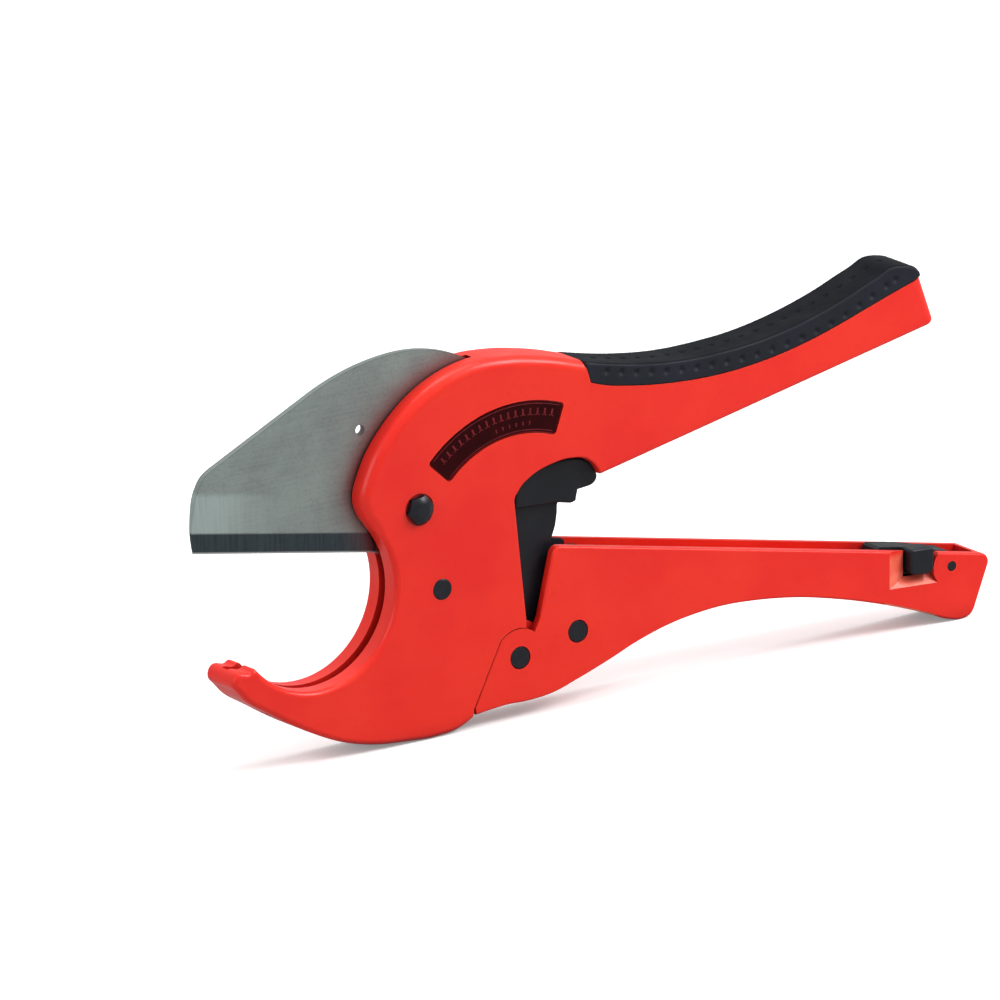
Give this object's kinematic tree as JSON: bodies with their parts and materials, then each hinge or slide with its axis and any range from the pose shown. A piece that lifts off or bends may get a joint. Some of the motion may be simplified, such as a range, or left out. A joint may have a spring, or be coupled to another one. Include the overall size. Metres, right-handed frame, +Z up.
{
  "type": "pvc pipe cutter",
  "caption": "Ratchet shears for plastic pipe: a cast jaw and upper handle in one piece, a swinging toothed blade, and a pivoting lower handle with a drive pawl, release lever and closing latch.",
  "frame": {"origin": "centre of the round pipe seat in the lower jaw, in the blade's mid-plane", "axes": "+X from the jaw towards the ends of the handles, +Y towards the side with the nut, away from the bolt head, +Z up from the lower jaw towards the blade and the upper handle"},
  "size_m": [0.3472, 0.024, 0.1505],
  "materials": {
    "cast_red": "glossy paint over a smooth casting",
    "grip_rubber": "soft satin",
    "plate_black": "satin, plain",
    "blade_steel": "brushed, with a polished ground bevel",
    "black_steel": "black oxide, satin",
    "hard_steel": "dull hardened steel",
    "spring_steel": "oiled wire",
    "black_plastic": "satin"
  },
  "bodies": {
    "frame": {"body": "cast_red", "grip_pad": "grip_rubber", "name_plate": "plate_black", "blade_pivot_bolt": "black_steel", "blade_pivot_nut": "black_steel", "blade_pivot_sleeve": "hard_steel", "blade_thrust_washers": "hard_steel", "blade_stop_pin": "black_steel", "handle_opening_spring": "spring_steel", "release_lever_spring": "spring_steel"},
    "blade": {"blade": "blade_steel"},
    "lower_handle": {"lower_handle": "cast_red", "handle_pivot_pin": "black_steel", "drive_pawl_pin": "black_steel", "drive_pawl_spacers": "hard_steel", "drive_pawl_spring": "spring_steel", "latch_pin": "black_steel", "latch_spring": "spring_steel", "handle_buffers": "grip_rubber"},
    "release_lever": {"release_lever": "black_steel", "holding_pawl": "hard_steel", "holding_pawl_rivets": "black_steel"},
    "drive_pawl": {"drive_pawl": "hard_steel"},
    "handle_latch": {"handle_latch": "black_plastic"}
  },
  "joints": [
    {"name": "blade_swing", "type": "hinge", "parent": "frame", "child": "blade", "pos_m": [0.04759, 0, 0.02642], "axis": [0, -1, 0], "range_deg": [-30, 60]},
    {"name": "handle_squeeze", "type": "hinge", "parent": "frame", "child": "lower_handle", "pos_m": [0.08835, 0, -0.04011], "axis": [0, -1, 0], "range_deg": [0, 19], "stiffness_Nm_per_rad": 0.8, "springref_deg": -34.38},
    {"name": "release_lever_swing", "type": "hinge", "parent": "frame", "child": "release_lever", "pos_m": [0.08835, 0, -0.04011], "axis": [0, 1, 0], "range_deg": [-3.1, 5]},
    {"name": "drive_pawl_swing", "type": "hinge", "parent": "lower_handle", "child": "drive_pawl", "pos_m": [0.11459, 0, -0.03483], "axis": [0, -1, 0], "range_deg": [-32.4, 0]},
    {"name": "handle_latch_swing", "type": "hinge", "parent": "lower_handle", "child": "handle_latch", "pos_m": [0.28292, 0, -0.04239], "axis": [0, 1, 0], "range_deg": [0, 83]}
  ],
  "couplings": [
    {"joint": "drive_pawl_swing", "follows": "handle_squeeze", "ratio": -1.7}
  ]
}
